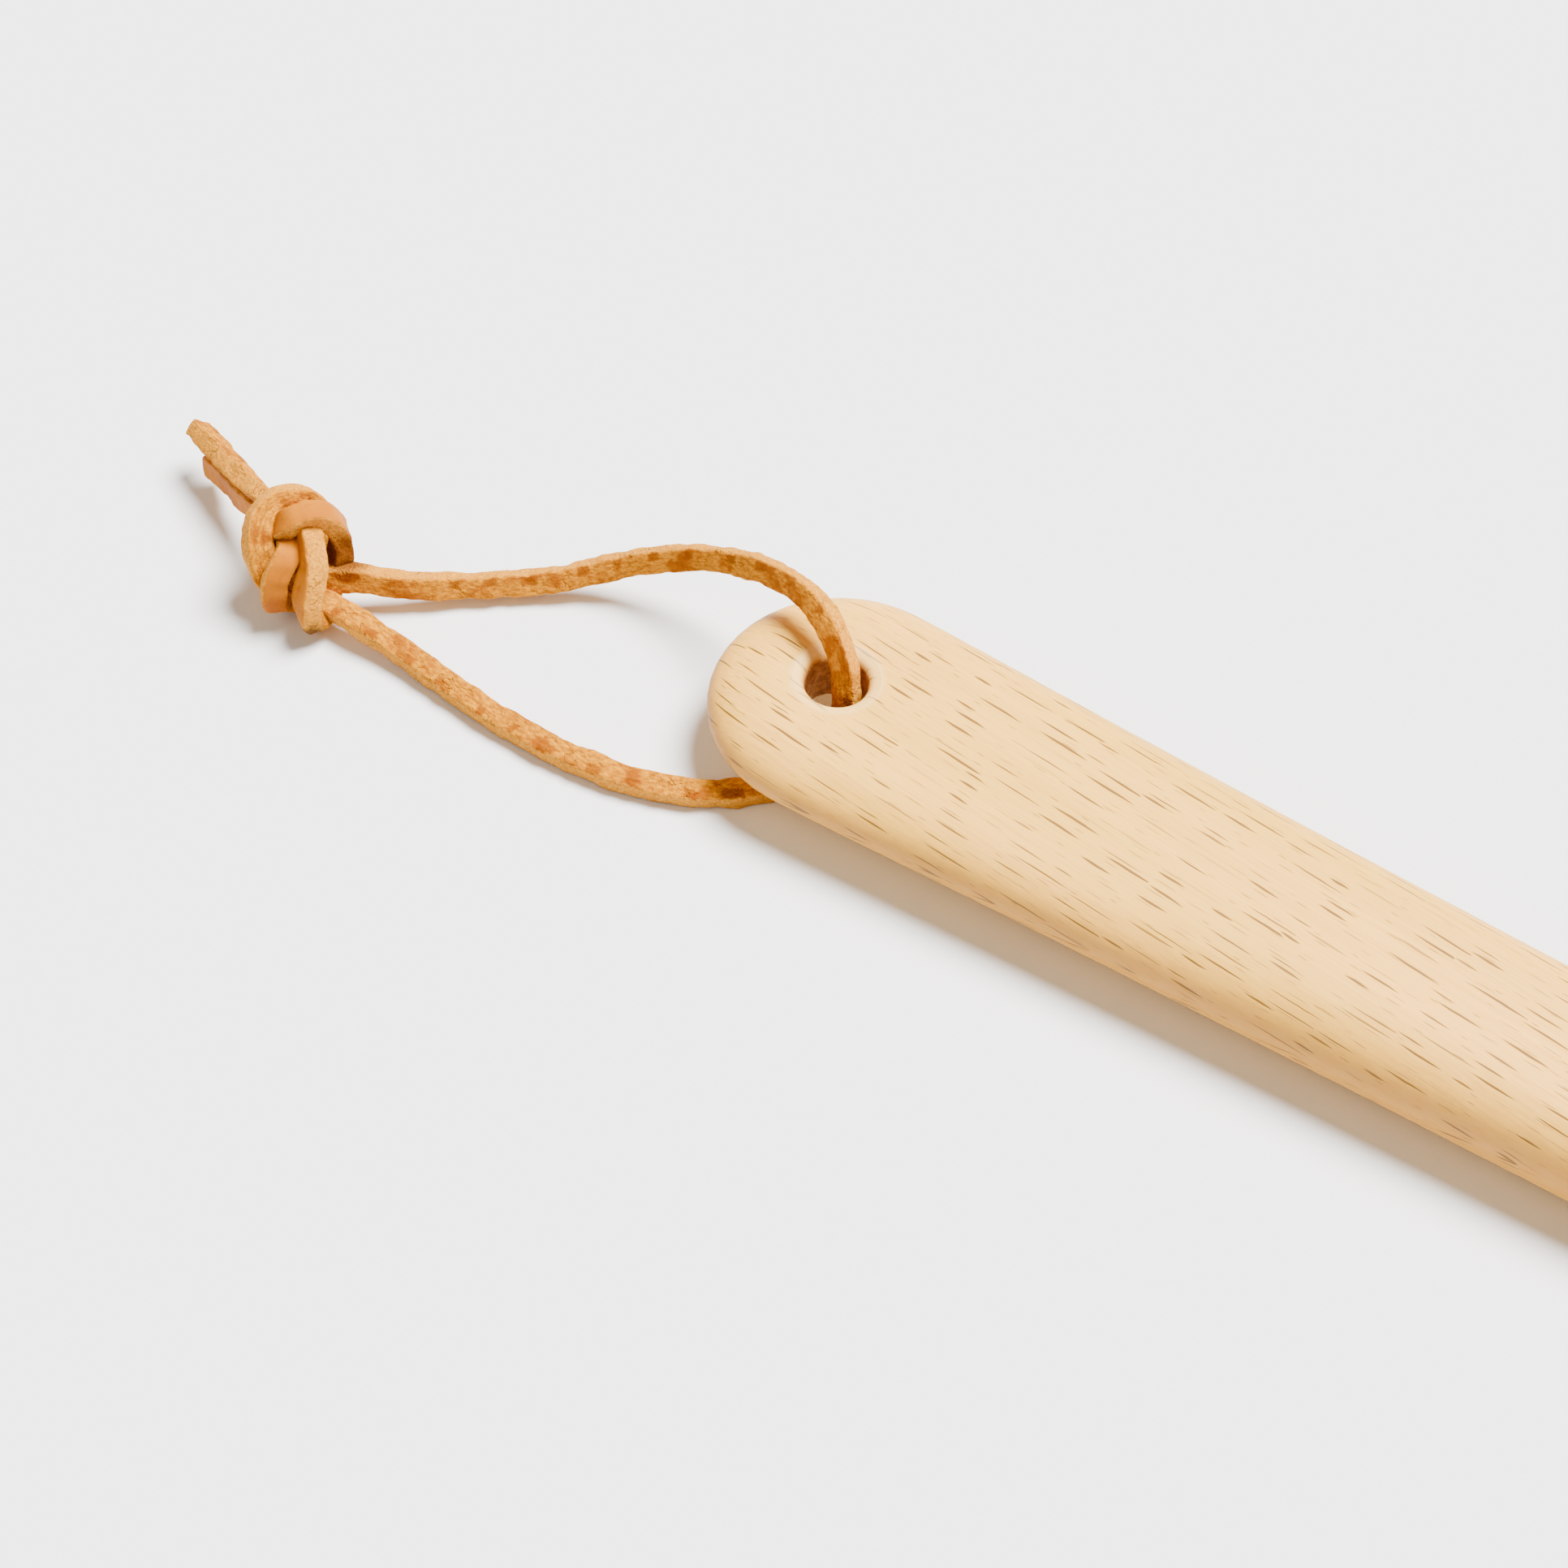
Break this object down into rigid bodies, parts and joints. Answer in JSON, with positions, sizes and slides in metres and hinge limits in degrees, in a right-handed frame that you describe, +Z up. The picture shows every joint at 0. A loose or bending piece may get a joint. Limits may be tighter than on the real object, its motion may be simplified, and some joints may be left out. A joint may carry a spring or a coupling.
{
  "type": "long shoehorn",
  "caption": "Long shoehorn: flat oval beech handle with a round, drilled end and a knotted leather hanging lace, riveted to a pressed steel blade.",
  "frame": {"origin": "middle of the horn's footprint where it lies on a table, at the table's height, the lace not counted", "axes": "+X from the hanging end to the blade's tip, +Y across the width, +Z up out of the blade's hollow side"},
  "size_m": [0.6606, 0.0461, 0.0183],
  "materials": {
    "beech": "fine-sanded, matt oiled beech with short rays and flecks",
    "blade_steel": "satin stainless steel, brushed along its length",
    "rivet_brass": "satin brass",
    "lace_leather": "tan suede with one smooth grain side"
  },
  "bodies": {
    "horn": {"handle": "beech", "blade": "blade_steel", "upper_rivet_cap": "rivet_brass", "upper_rivet_post": "rivet_brass", "lower_rivet_cap": "rivet_brass", "lower_rivet_post": "rivet_brass"},
    "lace": {"lace_loop": "lace_leather", "lace_knot": "lace_leather", "lace_tail_long": "lace_leather", "lace_tail_short": "lace_leather"}
  },
  "joints": [
    {"name": "lace_swing", "type": "hinge", "parent": "horn", "child": "lace", "pos_m": [-0.2742, 0, 0.008], "axis": [0, 0, 1], "range_deg": [-40, 40]}
  ]
}
